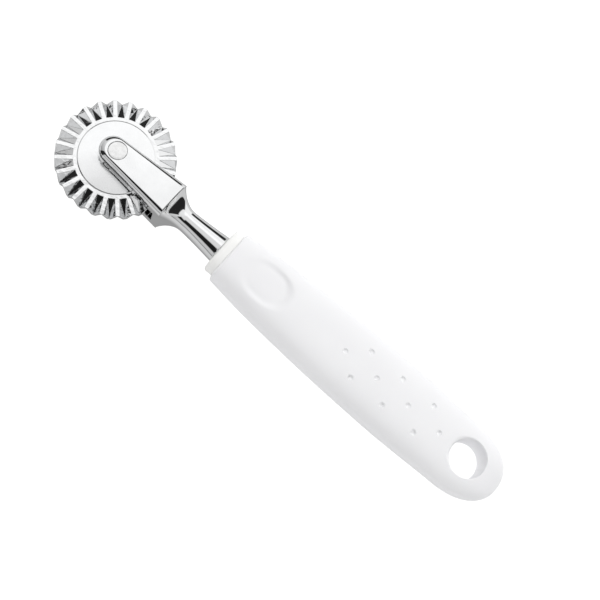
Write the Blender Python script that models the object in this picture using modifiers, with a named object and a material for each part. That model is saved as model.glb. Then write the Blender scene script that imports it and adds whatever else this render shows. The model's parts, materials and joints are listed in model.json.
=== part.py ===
"""Fluted pastry wheel: a die-cast cutting wheel on a riveted axle in a cast fork, with a plastic handle.

Units are metres. The tool lies on its back: +X runs from the wheel to the handle's end, +Z is up and the
wheel turns about a vertical axis. "Along" values are distances along X from the axle.
"""
import math

import bpy
import bmesh

# Whole tool
WHEEL_RADIUS = 0.019
HANDLE_END = 0.157                               # along
OVERALL_LENGTH = WHEEL_RADIUS + HANDLE_END
AXLE_X = WHEEL_RADIUS - OVERALL_LENGTH / 2       # puts the middle of the length on the world's Z axis
AXLE_Z = 0.0084                                  # the fork's back face lies on the table

# Wheel
RIM_HALF_THICKNESS = 0.0019
BOSS_RADIUS = 0.0122
BOSS_HALF_THICKNESS = 0.0025
BOSS_CHAMFER = 0.0004
HUB_RADIUS = 0.0046
HUB_HALF_THICKNESS = 0.0027
WHEEL_BORE_RADIUS = 0.00355
FLUTES_PER_FACE = 24
FLUTE_TURN = math.radians(-2.4)                 # where the front face's flutes stand at rest
FLUTE_START_RADIUS = 0.0133
FLUTE_DEPTH = 0.00325
LAND_HALF_WIDTH = 0.00065                        # the flat strip between two flutes has parallel sides
FLUTE_OVERRUN = 0.0005                           # each cutter runs this far past the rim
CUTTER_RISE = 0.0006                             # and this far above the face

# Axle set
BUSH_RADIUS = 0.0035
BUSH_BORE_RADIUS = 0.00205
RIVET_RADIUS = 0.0020
RIVET_HEAD_RADIUS = 0.0030
RIVET_HEAD_PROUD = 0.00012
RIVET_HEAD_DEPTH = 0.0013
RIVET_TAIL_RADIUS = 0.0029
RIVET_TAIL_DEPTH = 0.0010
RIVET_TAIL_SUNK = 0.0001
FIT_CLEARANCE = 0.00005
WASHER_RADIUS = 0.0044
WASHER_THICKNESS = 0.0005

# Fork
FORK_HALF_DEPTH = 0.0084
SLOT_HALF_WIDTH = 0.0033
SLOT_END = 0.0203                                # along
YOKE_END = 0.0226                                # along
ARM_FACE = (-0.00055, 0.0033, 0.00465)           # nose centre along, nose radius, half width at the yoke's end
ARM_SIDE = (-0.00145, 0.0046, 0.0066)            # the same where the sides bulge furthest
ARM_SIDE_RADIUS = 0.0026
ARM_RIM_ANGLE = math.radians(20)                 # the sides leave the flat face at this slope
NECK_HALF_WIDTH = 0.0036
NECK_HALF_THICKNESS = 0.0041
NECK_ALONG = 0.0295
STEM_END = 0.0430                                # along
STEM_END_HALF_WIDTH = 0.0048
STEM_END_HALF_THICKNESS = 0.0042
STEM_SQUARENESS = 2.1
STEM_END_SQUARENESS = 1.9
NECK_START_SQUARENESS = 6.0
TANG_END = 0.084                                 # along
TANG_HALF_WIDTH = 0.0035
TANG_HALF_THICKNESS = 0.0025

# Handle insert: the collar at the front and the plug inside the grip
COLLAR_END = 0.0463                              # along, where the grip starts
COLLAR_HALF_WIDTH = 0.0079
COLLAR_HALF_THICKNESS = 0.0050
COLLAR_EDGE_RADIUS = 0.0008
COLLAR_SEAT_END = 0.0500                         # along
PLUG_END = 0.0920                                # along
PLUG_HALF_WIDTH = 0.0065
PLUG_HALF_THICKNESS = 0.0040

# Grip: along, half width, half thickness
GRIP_STATIONS = (
    (0.0463, 0.0092, 0.0060),
    (0.0600, 0.01065, 0.0063),
    (0.0750, 0.0116, 0.0064),
    (0.0900, 0.01225, 0.0064),
    (0.1050, 0.01255, 0.00635),
    (0.1180, 0.0126, 0.0062),
    (0.1380, 0.0119, 0.0058),
)
GRIP_SQUARENESS = 2.8                            # 2 is an ellipse, more is squarer
GRIP_MOUTH_RADIUS = 0.0008
GRIP_RING_SPACING = 0.004
BUTT_STEPS = 9
HANG_HOLE_ALONG = 0.1433
HANG_HOLE_RADIUS = 0.0061
HANG_HOLE_EDGE_RADIUS = 0.0012
HANG_HOLE_FACE = 0.0056                          # half thickness of the grip at the hole
THUMB_ALONG = 0.0606
THUMB_SIZE = (0.0109, 0.0083, 0.0024)
THUMB_LIFT = 0.0016
THUMB_TILT = math.radians(3.0)
DIMPLE_RADIUS = 0.00085
DIMPLE_START = 0.0929                            # along
DIMPLE_PITCH = 0.0064
DIMPLE_SIDE = 0.0055
DIMPLE_DEPTH = 0.0005

ROUND_STEPS = 48
WHEEL_STEPS = 96
SECTION_POINTS = 40


def clear_scene():
    for old in list(bpy.data.objects):
        bpy.data.objects.remove(old, do_unlink=True)


def new_collection(name):
    collection = bpy.data.collections.new(name)
    bpy.context.scene.collection.children.link(collection)
    return collection


def material(name, colour, roughness, metallic):
    mat = bpy.data.materials.new(name)
    mat.use_nodes = True
    shader = mat.node_tree.nodes["Principled BSDF"]
    shader.inputs["Base Color"].default_value = (*colour, 1.0)
    shader.inputs["Roughness"].default_value = roughness
    shader.inputs["Metallic"].default_value = metallic
    mat.diffuse_color = (*colour, 1.0)
    return mat


def add_object(name, mesh, collection, along=0.0):
    """Place a mesh whose own origin lies on the tool's centre line, this far along from the axle."""
    obj = bpy.data.objects.new(name, mesh)
    obj.location = (AXLE_X + along, 0.0, AXLE_Z)
    collection.objects.link(obj)
    return obj


def mesh_from_bmesh(name, bm):
    bmesh.ops.recalc_face_normals(bm, faces=bm.faces)
    mesh = bpy.data.meshes.new(name)
    bm.to_mesh(mesh)
    bm.free()
    return mesh


def turned(name, profile, steps, collection, along=0.0, closed=True):
    """A solid turned about the vertical axis from (radius, height) points, outer side from top to bottom."""
    bm = bmesh.new()
    verts = [bm.verts.new((radius, 0.0, height)) for radius, height in profile]
    for first, second in zip(verts, verts[1:]):
        bm.edges.new((first, second))
    if closed:
        bm.edges.new((verts[-1], verts[0]))
    mesh = bpy.data.meshes.new(name)
    bm.to_mesh(mesh)
    bm.free()
    obj = add_object(name, mesh, collection, along)
    screw = obj.modifiers.new("Turn", "SCREW")
    screw.axis = "Z"
    screw.angle = math.tau
    screw.steps = steps
    screw.render_steps = steps
    screw.use_merge_vertices = True
    screw.merge_threshold = 0.00001
    screw.use_normal_calculate = True
    return obj


def as_mesh(obj, weld=0.000001):
    """Replace an object by its evaluated mesh, so that it can be cut or be a cutter."""
    bpy.context.view_layer.update()
    evaluated = obj.evaluated_get(bpy.context.evaluated_depsgraph_get())
    mesh = bpy.data.meshes.new_from_object(evaluated)
    bm = bmesh.new()
    bm.from_mesh(mesh)
    bmesh.ops.remove_doubles(bm, verts=bm.verts, dist=weld)
    bmesh.ops.recalc_face_normals(bm, faces=bm.faces)
    bm.to_mesh(mesh)
    bm.free()
    solid = bpy.data.objects.new(obj.name, mesh)
    solid.matrix_world = obj.matrix_world.copy()
    name = obj.name
    for collection in list(obj.users_collection):
        collection.objects.link(solid)
    bpy.data.objects.remove(obj, do_unlink=True)
    solid.name = name
    return solid


def boolean(target, tool, operation):
    modifier = target.modifiers.new(tool.name, "BOOLEAN")
    modifier.operation = operation
    modifier.solver = "EXACT"
    modifier.object = tool
    tool.hide_render = True
    tool.display_type = "WIRE"


def smooth_sharp(obj, mat, angle=35.0):
    obj.data.materials.clear()
    obj.data.materials.append(mat)
    for polygon in obj.data.polygons:
        polygon.use_smooth = True
    obj.data.set_sharp_from_angle(angle=math.radians(angle))


def finished(obj, mat):
    """Bake an object's modifiers and give it its material."""
    solid = as_mesh(obj)
    smooth_sharp(solid, mat)
    return solid


def box(name, along_range, half_width, height_range, collection):
    bm = bmesh.new()
    bmesh.ops.create_cube(bm, size=1.0)
    length = along_range[1] - along_range[0]
    height = height_range[1] - height_range[0]
    middle_along = sum(along_range) / 2
    middle_height = sum(height_range) / 2
    for vert in bm.verts:
        vert.co.x = vert.co.x * length + middle_along
        vert.co.y = vert.co.y * 2 * half_width
        vert.co.z = vert.co.z * height + middle_height
    return add_object(name, mesh_from_bmesh(name, bm), collection)


def oval_section(half_width, half_thickness, squareness):
    """Points of a superellipse in the Y-Z plane."""
    points = []
    for step in range(SECTION_POINTS):
        angle = math.tau * step / SECTION_POINTS
        cosine = math.cos(angle)
        sine = math.sin(angle)
        y = half_width * math.copysign(abs(cosine) ** (2 / squareness), cosine)
        z = half_thickness * math.copysign(abs(sine) ** (2 / squareness), sine)
        points.append((y, z))
    return points


def join_rings(bm, rings):
    """Faces between rings of the same number of points, with both ends closed."""
    count = len(rings[0])
    for near, far in zip(rings, rings[1:]):
        for index in range(count):
            following = (index + 1) % count
            bm.faces.new((near[index], near[following], far[following], far[index]))
    bm.faces.new(rings[0])
    bm.faces.new(rings[-1])


def loft(name, stations, collection):
    """A closed solid through (along, half width, half thickness, squareness) sections."""
    bm = bmesh.new()
    rings = []
    for along, half_width, half_thickness, squareness in stations:
        section = oval_section(half_width, half_thickness, squareness)
        rings.append([bm.verts.new((along, y, z)) for y, z in section])
    join_rings(bm, rings)
    return add_object(name, mesh_from_bmesh(name, bm), collection)


def eased(stations, along, column):
    """A smooth curve through one column of the stations (Catmull-Rom)."""
    last = len(stations) - 1
    index = 0
    while index < last - 1 and along > stations[index + 1][0]:
        index += 1
    first = stations[index]
    second = stations[index + 1]
    before = stations[max(index - 1, 0)]
    after = stations[min(index + 2, last)]
    span = second[0] - first[0]
    slope_in = (second[column] - before[column]) / (second[0] - before[0]) * span
    slope_out = (after[column] - first[column]) / (after[0] - first[0]) * span
    t = (along - first[0]) / span
    start_weight = 2 * t ** 3 - 3 * t ** 2 + 1
    end_weight = 3 * t ** 2 - 2 * t ** 3
    in_weight = t ** 3 - 2 * t ** 2 + t
    out_weight = t ** 3 - t ** 2
    return (start_weight * first[column] + end_weight * second[column]
            + in_weight * slope_in + out_weight * slope_out)


def flute_cutters(collection):
    """All the wedge-shaped flutes of both faces, with the back face's half a pitch on from the front's."""
    bm = bmesh.new()
    pitch = math.tau / FLUTES_PER_FACE
    outer = WHEEL_RADIUS + FLUTE_OVERRUN
    run = outer - FLUTE_START_RADIUS
    depth = FLUTE_DEPTH * run / (WHEEL_RADIUS - FLUTE_START_RADIUS)
    for side in (1, -1):
        offset = 0.5 if side > 0 else 0.0
        for index in range(FLUTES_PER_FACE):
            middle = (index + offset) * pitch + FLUTE_TURN
            corners = []
            for edge in (-1, 1):
                land = middle + edge * pitch / 2
                for radius in (FLUTE_START_RADIUS, outer):
                    x = radius * math.cos(land) + edge * LAND_HALF_WIDTH * math.sin(land)
                    y = radius * math.sin(land) - edge * LAND_HALF_WIDTH * math.cos(land)
                    corners.append((x, y))
            verts = []
            for x, y in corners:
                verts.append(bm.verts.new((x, y, side * RIM_HALF_THICKNESS)))
                verts.append(bm.verts.new((x, y, side * (RIM_HALF_THICKNESS + CUTTER_RISE))))
            bottom = side * (RIM_HALF_THICKNESS - depth)
            verts.append(bm.verts.new((outer * math.cos(middle), outer * math.sin(middle), bottom)))
            bmesh.ops.convex_hull(bm, input=verts)
    return add_object("flute_cutters", mesh_from_bmesh("flute_cutters", bm), collection)


def pastry_wheel(parts, cutters, mat):
    profile = [
        (WHEEL_BORE_RADIUS, HUB_HALF_THICKNESS),
        (HUB_RADIUS, HUB_HALF_THICKNESS),
        (HUB_RADIUS, BOSS_HALF_THICKNESS),
        (BOSS_RADIUS - BOSS_CHAMFER, BOSS_HALF_THICKNESS),
        (BOSS_RADIUS, RIM_HALF_THICKNESS),
        (WHEEL_RADIUS, RIM_HALF_THICKNESS),
    ]
    profile += [(radius, -height) for radius, height in reversed(profile)]
    wheel = turned("pastry_wheel", profile, WHEEL_STEPS, parts)
    wheel = as_mesh(wheel)
    boolean(wheel, flute_cutters(cutters), "DIFFERENCE")
    return finished(wheel, mat)


def axle_rivet(parts, mat):
    top = FORK_HALF_DEPTH + RIVET_HEAD_PROUD
    head_bottom = FORK_HALF_DEPTH - RIVET_HEAD_DEPTH
    tail_top = -FORK_HALF_DEPTH + RIVET_TAIL_DEPTH
    bottom = -FORK_HALF_DEPTH + RIVET_TAIL_SUNK
    edge = 0.0002
    profile = [
        (0.0, top),
        (RIVET_HEAD_RADIUS - edge, top),
        (RIVET_HEAD_RADIUS, top - edge),
        (RIVET_HEAD_RADIUS, head_bottom),
        (RIVET_RADIUS, head_bottom),
        (RIVET_RADIUS, tail_top),
        (RIVET_TAIL_RADIUS, tail_top),
        (RIVET_TAIL_RADIUS, bottom),
        (0.0, bottom),
    ]
    rivet = turned("axle_rivet", profile, ROUND_STEPS, parts, closed=False)
    return finished(rivet, mat)


def wheel_bush(parts, mat):
    half_length = SLOT_HALF_WIDTH - FIT_CLEARANCE
    profile = [
        (BUSH_BORE_RADIUS, half_length),
        (BUSH_RADIUS, half_length),
        (BUSH_RADIUS, -half_length),
        (BUSH_BORE_RADIUS, -half_length),
    ]
    return finished(turned("wheel_bush", profile, ROUND_STEPS, parts), mat)


def thrust_washer(name, side, parts, mat):
    inner_face = SLOT_HALF_WIDTH - FIT_CLEARANCE - WASHER_THICKNESS
    outer_face = SLOT_HALF_WIDTH - FIT_CLEARANCE
    low, high = sorted((side * inner_face, side * outer_face))
    profile = [
        (WHEEL_BORE_RADIUS, high),
        (WASHER_RADIUS, high),
        (WASHER_RADIUS, low),
        (WHEEL_BORE_RADIUS, low),
    ]
    return finished(turned(name, profile, ROUND_STEPS, parts), mat)


def arm_outline(bulge):
    """The yoke's outline, from its flat face at 0 to its widest at 1: a nose that widens to the neck."""
    run_out = 0.006
    centre, radius, neck_half_width = (
        face + (side - face) * bulge for face, side in zip(ARM_FACE, ARM_SIDE))
    slope = math.atan2(neck_half_width - radius, YOKE_END - centre)
    points = []
    nose_steps = 16
    first_angle = math.pi / 2 + slope
    for step in range(nose_steps + 1):
        angle = first_angle + (math.tau / 2 - 2 * slope) * step / nose_steps
        points.append((centre + radius * math.cos(angle), radius * math.sin(angle)))
    end_width = neck_half_width + run_out * math.tan(slope)
    points.append((YOKE_END + run_out, -end_width))
    points.append((YOKE_END + run_out, end_width))
    return points


def yoke_blank(parts):
    """The outline built up through the fork's depth; a crisp rim leads into sides that bulge out."""
    side_steps = 6
    levels = []
    for step in range(side_steps + 1):
        angle = ARM_RIM_ANGLE + (math.pi / 2 - ARM_RIM_ANGLE) * step / side_steps
        bulge = (math.sin(angle) - math.sin(ARM_RIM_ANGLE)) / (1 - math.sin(ARM_RIM_ANGLE))
        height = FORK_HALF_DEPTH - ARM_SIDE_RADIUS * (math.cos(ARM_RIM_ANGLE) - math.cos(angle))
        levels.append((bulge, height))
    levels += [(bulge, -height) for bulge, height in reversed(levels)]
    bm = bmesh.new()
    rings = []
    for bulge, height in levels:
        rings.append([bm.verts.new((x, y, height)) for x, y in arm_outline(bulge)])
    join_rings(bm, rings)
    return add_object("fork", mesh_from_bmesh("fork", bm), parts)


def cove_radius(start, rise):
    """Radius of the arc that falls by rise over the run from the yoke's end to the neck and ends level."""
    run = NECK_ALONG - start
    return (run ** 2 + rise ** 2) / (2 * rise)


def stem_stations():
    step_in = 0.00005
    start_half_width = ARM_SIDE[2] - step_in
    start_half_thickness = FORK_HALF_DEPTH - step_in
    side_cove = cove_radius(YOKE_END, start_half_width - NECK_HALF_WIDTH)
    face_cove = cove_radius(YOKE_END, start_half_thickness - NECK_HALF_THICKNESS)
    cove_steps = 8
    stations = [(SLOT_END + 0.0008, start_half_width - 0.001, start_half_thickness - 0.001, 6.0)]
    for step in range(cove_steps + 1):
        part = step / cove_steps
        along = YOKE_END + (NECK_ALONG - YOKE_END) * part
        left = NECK_ALONG - along
        half_width = NECK_HALF_WIDTH + side_cove - math.sqrt(side_cove ** 2 - left ** 2)
        half_thickness = NECK_HALF_THICKNESS + face_cove - math.sqrt(face_cove ** 2 - left ** 2)
        squareness = NECK_START_SQUARENESS + (STEM_SQUARENESS - NECK_START_SQUARENESS) * math.sqrt(part)
        stations.append((along, half_width, half_thickness, squareness))
    stem_steps = 4
    for step in range(1, stem_steps + 1):
        part = step / stem_steps
        along = NECK_ALONG + (STEM_END - FIT_CLEARANCE - NECK_ALONG) * part
        half_width = NECK_HALF_WIDTH + (STEM_END_HALF_WIDTH - NECK_HALF_WIDTH) * part ** 1.3
        half_thickness = NECK_HALF_THICKNESS + (STEM_END_HALF_THICKNESS - NECK_HALF_THICKNESS) * part
        squareness = STEM_SQUARENESS + (STEM_END_SQUARENESS - STEM_SQUARENESS) * part
        stations.append((along, half_width, half_thickness, squareness))
    return stations


def fork(parts, cutters, mat):
    """Two arms, the wall behind them, the stem and the tang, all one casting."""
    body = yoke_blank(parts)
    too_wide = 0.012
    too_deep = 0.012
    end_cut = box("yoke_end_cut", (YOKE_END, YOKE_END + 0.02), too_wide, (-too_deep, too_deep), cutters)
    boolean(body, end_cut, "DIFFERENCE")
    boolean(body, loft("stem_join", stem_stations(), cutters), "UNION")
    tang_range = (STEM_END - 0.001, TANG_END)
    tang = box("tang_join", tang_range, TANG_HALF_WIDTH, (-TANG_HALF_THICKNESS, TANG_HALF_THICKNESS), cutters)
    boolean(body, tang, "UNION")
    slot = box("wheel_slot", (-0.02, SLOT_END), too_wide, (-SLOT_HALF_WIDTH, SLOT_HALF_WIDTH), cutters)
    boolean(body, slot, "DIFFERENCE")
    above = FORK_HALF_DEPTH + 0.001
    seat_top = FORK_HALF_DEPTH - RIVET_HEAD_DEPTH - FIT_CLEARANCE
    seat_bottom = -FORK_HALF_DEPTH + RIVET_TAIL_DEPTH + FIT_CLEARANCE
    profile = [
        (0.0, above),
        (RIVET_HEAD_RADIUS + FIT_CLEARANCE, above),
        (RIVET_HEAD_RADIUS + FIT_CLEARANCE, seat_top),
        (RIVET_RADIUS + FIT_CLEARANCE, seat_top),
        (RIVET_RADIUS + FIT_CLEARANCE, seat_bottom),
        (RIVET_TAIL_RADIUS + FIT_CLEARANCE, seat_bottom),
        (RIVET_TAIL_RADIUS + FIT_CLEARANCE, -above),
        (0.0, -above),
    ]
    bore = as_mesh(turned("rivet_bore", profile, ROUND_STEPS, cutters, closed=False))
    boolean(body, bore, "DIFFERENCE")
    return finished(body, mat)


def handle_insert(parts, cutters, mat):
    """The collar, its seat in the grip's mouth and the plug that holds the tang."""
    edge = COLLAR_EDGE_RADIUS
    stations = []
    edge_steps = 4
    for step in range(edge_steps + 1):
        angle = math.pi / 2 * step / edge_steps
        inset = edge * (1 - math.sin(angle))
        along = STEM_END + edge * (1 - math.cos(angle))
        stations.append((along, COLLAR_HALF_WIDTH - inset, COLLAR_HALF_THICKNESS - inset, 2.6))
    seat = COLLAR_SEAT_END - FIT_CLEARANCE
    chamfer = 0.001
    stations.append((seat, COLLAR_HALF_WIDTH, COLLAR_HALF_THICKNESS, 2.6))
    stations.append((seat, PLUG_HALF_WIDTH, PLUG_HALF_THICKNESS, 4.0))
    stations.append((PLUG_END - chamfer, PLUG_HALF_WIDTH, PLUG_HALF_THICKNESS, 4.0))
    stations.append((PLUG_END, PLUG_HALF_WIDTH - chamfer, PLUG_HALF_THICKNESS - chamfer, 4.0))
    body = loft("handle_insert", stations, parts)
    hole_half_width = TANG_HALF_WIDTH + FIT_CLEARANCE
    hole_half_height = TANG_HALF_THICKNESS + FIT_CLEARANCE
    hole_range = (STEM_END - 0.002, TANG_END + 0.0003)
    hole = box("tang_hole", hole_range, hole_half_width, (-hole_half_height, hole_half_height), cutters)
    boolean(body, hole, "DIFFERENCE")
    return finished(body, mat)


def grip_stations():
    mouth = GRIP_STATIONS[0][0]
    body_end, end_width, end_thickness = GRIP_STATIONS[-1]
    stations = []
    mouth_steps = 3
    for step in range(mouth_steps + 1):
        angle = math.pi / 2 * step / mouth_steps
        along = mouth + GRIP_MOUTH_RADIUS * (1 - math.cos(angle))
        inset = GRIP_MOUTH_RADIUS * (1 - math.sin(angle))
        half_width = eased(GRIP_STATIONS, along, 1) - inset
        half_thickness = eased(GRIP_STATIONS, along, 2) - inset
        stations.append((along, half_width, half_thickness, GRIP_SQUARENESS))
    start = stations[-1][0]
    body_steps = round((body_end - start) / GRIP_RING_SPACING)
    for step in range(1, body_steps + 1):
        along = start + (body_end - start) * step / body_steps
        half_width = eased(GRIP_STATIONS, along, 1)
        half_thickness = eased(GRIP_STATIONS, along, 2)
        stations.append((along, half_width, half_thickness, GRIP_SQUARENESS))
    for step in range(1, BUTT_STEPS + 1):
        part = math.sin(math.pi / 2 * step / (BUTT_STEPS + 0.35))
        along = body_end + (HANDLE_END - body_end) * part
        half_width = end_width * (1 - part ** 2.4) ** (1 / 2.2)
        half_thickness = end_thickness * (1 - part ** 3.2) ** 0.5
        stations.append((along, half_width, half_thickness, GRIP_SQUARENESS))
    flat_along = HANDLE_END
    last = stations[-1]
    stations.append((flat_along, last[1] * 0.45, last[2] * 0.45, GRIP_SQUARENESS))
    return stations


def grip_pocket(cutters):
    gap = FIT_CLEARANCE
    stations = [
        (0.044, COLLAR_HALF_WIDTH + gap, COLLAR_HALF_THICKNESS + gap, 2.6),
        (COLLAR_SEAT_END, COLLAR_HALF_WIDTH + gap, COLLAR_HALF_THICKNESS + gap, 2.6),
        (COLLAR_SEAT_END, PLUG_HALF_WIDTH + gap, PLUG_HALF_THICKNESS + gap, 4.0),
        (PLUG_END + gap, PLUG_HALF_WIDTH + gap, PLUG_HALF_THICKNESS + gap, 4.0),
    ]
    return loft("insert_pocket", stations, cutters)


def hang_hole_cutter(cutters):
    """An upright pin that flares at both faces, so that the hole's rims come out rounded."""
    flare = HANG_HOLE_EDGE_RADIUS
    upper = []
    flare_steps = 5
    for step in range(flare_steps + 1):
        angle = math.pi / 2 * step / flare_steps
        radius = HANG_HOLE_RADIUS + flare * (1 - math.sin(angle))
        height = HANG_HOLE_FACE + 0.0001 - flare * (1 - math.cos(angle))
        upper.append((radius, height))
    above = HANG_HOLE_FACE + 0.003
    profile = [(0.0, above), (upper[0][0], above)] + upper
    profile += [(radius, -height) for radius, height in reversed(profile)]
    return as_mesh(turned("hang_hole", profile, ROUND_STEPS, cutters, HANG_HOLE_ALONG, closed=False))


def thumb_cutter(cutters):
    bm = bmesh.new()
    bmesh.ops.create_uvsphere(bm, u_segments=40, v_segments=20, radius=1.0)
    for vert in bm.verts:
        vert.co.x *= THUMB_SIZE[0]
        vert.co.y *= THUMB_SIZE[1]
        vert.co.z *= THUMB_SIZE[2]
    obj = add_object("thumb_recess", mesh_from_bmesh("thumb_recess", bm), cutters, THUMB_ALONG)
    obj.location.z = AXLE_Z + eased(GRIP_STATIONS, THUMB_ALONG, 2) + THUMB_LIFT
    obj.rotation_euler.y = THUMB_TILT
    return obj


def dimple_cutters(cutters):
    """Ten small blind holes in a diamond pattern: single ones on the centre line, pairs between them."""
    bm = bmesh.new()
    spots = []
    for row in range(7):
        sides = (0.0,) if row % 2 == 0 else (-DIMPLE_SIDE, DIMPLE_SIDE)
        for side in sides:
            spots.append((DIMPLE_START + row * DIMPLE_PITCH, side))
    height = 0.004
    for along, side in spots:
        half_width = eased(GRIP_STATIONS, along, 1)
        half_thickness = eased(GRIP_STATIONS, along, 2)
        drop = (1 - (abs(side) / half_width) ** GRIP_SQUARENESS) ** (1 / GRIP_SQUARENESS)
        surface = half_thickness * drop
        made = bmesh.ops.create_cone(
            bm, cap_ends=True, segments=12, radius1=DIMPLE_RADIUS * 0.75,
            radius2=DIMPLE_RADIUS * 2.2, depth=height)
        for vert in made["verts"]:
            vert.co.x += along
            vert.co.y += side
            vert.co.z += surface - DIMPLE_DEPTH + height / 2
    return add_object("grip_dimples", mesh_from_bmesh("grip_dimples", bm), cutters)


def handle_grip(parts, cutters, mat):
    body = loft("handle_grip", grip_stations(), parts)
    for cutter in (grip_pocket(cutters), hang_hole_cutter(cutters), thumb_cutter(cutters),
                   dimple_cutters(cutters)):
        boolean(body, cutter, "DIFFERENCE")
    return finished(body, mat)


def remove_cutters(cutters):
    for obj in list(cutters.objects):
        bpy.data.objects.remove(obj, do_unlink=True)


def main():
    clear_scene()
    parts = new_collection("pastry_wheel_tool")
    cutters = new_collection("cutters")
    wheel_chrome = material("wheel_chrome", (0.83, 0.83, 0.84), 0.12, 1.0)
    fork_chrome = material("fork_chrome", (0.85, 0.85, 0.86), 0.10, 1.0)
    rivet_steel = material("rivet_steel", (0.80, 0.80, 0.80), 0.22, 1.0)
    bush_steel = material("bush_steel", (0.62, 0.62, 0.63), 0.30, 1.0)
    washer_steel = material("washer_steel", (0.70, 0.70, 0.71), 0.28, 1.0)
    collar_plastic = material("collar_plastic", (0.93, 0.93, 0.90), 0.25, 0.0)
    grip_plastic = material("grip_plastic", (0.90, 0.90, 0.90), 0.38, 0.0)

    pastry_wheel(parts, cutters, wheel_chrome)
    axle_rivet(parts, rivet_steel)
    wheel_bush(parts, bush_steel)
    thrust_washer("thrust_washer_front", 1, parts, washer_steel)
    thrust_washer("thrust_washer_rear", -1, parts, washer_steel)
    fork(parts, cutters, fork_chrome)
    handle_insert(parts, cutters, collar_plastic)
    handle_grip(parts, cutters, grip_plastic)
    remove_cutters(cutters)


main()
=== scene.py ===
"""Looks of the fluted pastry wheel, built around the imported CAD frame. Units are metres."""

import json
import math

import bmesh
import bpy
from mathutils import Matrix, Vector


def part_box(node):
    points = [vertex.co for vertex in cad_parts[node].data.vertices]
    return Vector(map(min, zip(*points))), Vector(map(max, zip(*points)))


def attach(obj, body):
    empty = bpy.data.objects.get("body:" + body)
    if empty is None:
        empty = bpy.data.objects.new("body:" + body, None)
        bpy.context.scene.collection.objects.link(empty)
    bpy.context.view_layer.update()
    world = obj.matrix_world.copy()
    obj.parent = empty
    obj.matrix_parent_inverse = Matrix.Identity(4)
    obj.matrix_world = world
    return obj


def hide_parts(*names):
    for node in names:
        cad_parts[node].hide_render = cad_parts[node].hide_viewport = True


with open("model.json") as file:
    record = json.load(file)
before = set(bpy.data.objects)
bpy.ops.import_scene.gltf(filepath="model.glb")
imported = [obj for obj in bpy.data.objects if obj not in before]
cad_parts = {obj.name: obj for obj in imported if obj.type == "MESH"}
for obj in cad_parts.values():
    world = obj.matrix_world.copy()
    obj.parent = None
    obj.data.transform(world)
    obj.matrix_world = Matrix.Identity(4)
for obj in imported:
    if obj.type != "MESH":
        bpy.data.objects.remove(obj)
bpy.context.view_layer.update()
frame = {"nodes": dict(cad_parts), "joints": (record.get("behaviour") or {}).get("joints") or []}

# The axle, from the frame. "Along" values are distances along X from it, and heights are from its middle.
AXLE = Vector(frame["joints"][0]["pos_m"])

# Camera, placed from the axle
CAMERA_FROM_AXLE = Vector((0.07110, -0.11750, 0.39025))
AIM_FROM_AXLE = Vector((0.07207, 0.00476, 0.0))
CAMERA_ROLL = 0.69095
CAMERA_LENS_MM = 78.34
SENSOR_MM = 36.0

# Wheel
WHEEL_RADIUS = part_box("pastry_wheel")[1].y
RIM_HALF = 0.0019
BOSS_RADIUS = 0.0122
BOSS_HALF = 0.0025
BOSS_DOME = 0.00032
BOSS_ROUGHNESS = 0.19
HUB_RADIUS = 0.0046
HUB_FOOT_RADIUS = 0.0049
HUB_HALF = 0.0027
BORE_RADIUS = 0.00355
FLUTES = 24
FLUTE_START = 0.0133
FLUTE_DEPTH = 0.00325
LAND_HALF_WIDTH = 0.00065
FLUTE_TURN = math.radians(-2.4)
DISC_STEPS = 8                                   # points of the disc's rings to each flute
WHEEL_EDGE = 0.00010

# Fork. An arm's outline: its nose's centre along, its nose's radius, its half width at the yoke's end.
FORK_HALF_DEPTH = 0.0084
SLOT_HALF_WIDTH = 0.0033
SLOT_END = 0.0203
YOKE_END = 0.0226
ARM_FACE = (-0.00055, 0.0033, 0.00465)           # round the flat face
ARM_SIDE = (-0.00145, 0.0046, 0.0066)            # and where the sides bulge furthest
ARM_SIDE_RADIUS = 0.0026
ARM_RIM_ANGLE = math.radians(20)                 # the sides leave the flat face at this slope
FACE_END_ROUNDING = 0.0008
FACE_END_SLOPE = math.radians(58)                # the rounding meets the cove at this slope
FACE_END_START = 0.2                             # and starts at this part of it
BLOCK_START = -0.010                             # of a wide block round the arms, which ends in the cove
BLOCK_HALF_WIDTH = 0.0105
BLOCK_HALF_DEPTH = 0.0115
BLOCK_SQUARENESS = 12.0
NECK_ALONG = 0.0295
NECK_HALF_WIDTH = 0.0036
NECK_HALF_THICKNESS = 0.0041
STEM_END = 0.0430
STEM_END_HALF_WIDTH = 0.0048
STEM_END_HALF_THICKNESS = 0.0042
STEM_SQUARENESS = 2.1
STEM_END_SQUARENESS = 1.9
NECK_START_SQUARENESS = 7.0
FORK_SIDES = 96
FORK_EDGE = 0.00012

# Axle set
RIVET_HEAD_RADIUS = 0.0030
RIVET_HEAD_DEPTH = 0.0013
RIVET_RADIUS = 0.0020
RIVET_TAIL_RADIUS = 0.0029
RIVET_TAIL_DEPTH = 0.0010
RIVET_EDGE = 0.00028
TURNED_SIDES = 96
SEAT_GAP = 0.00005
HEAD_SEAT_SPREAD = 1.015                         # the head's seat is a little wide
HEAD_SEAT_SHIFT = (-0.00006, 0.00003)            # and not quite centred on the head

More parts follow.
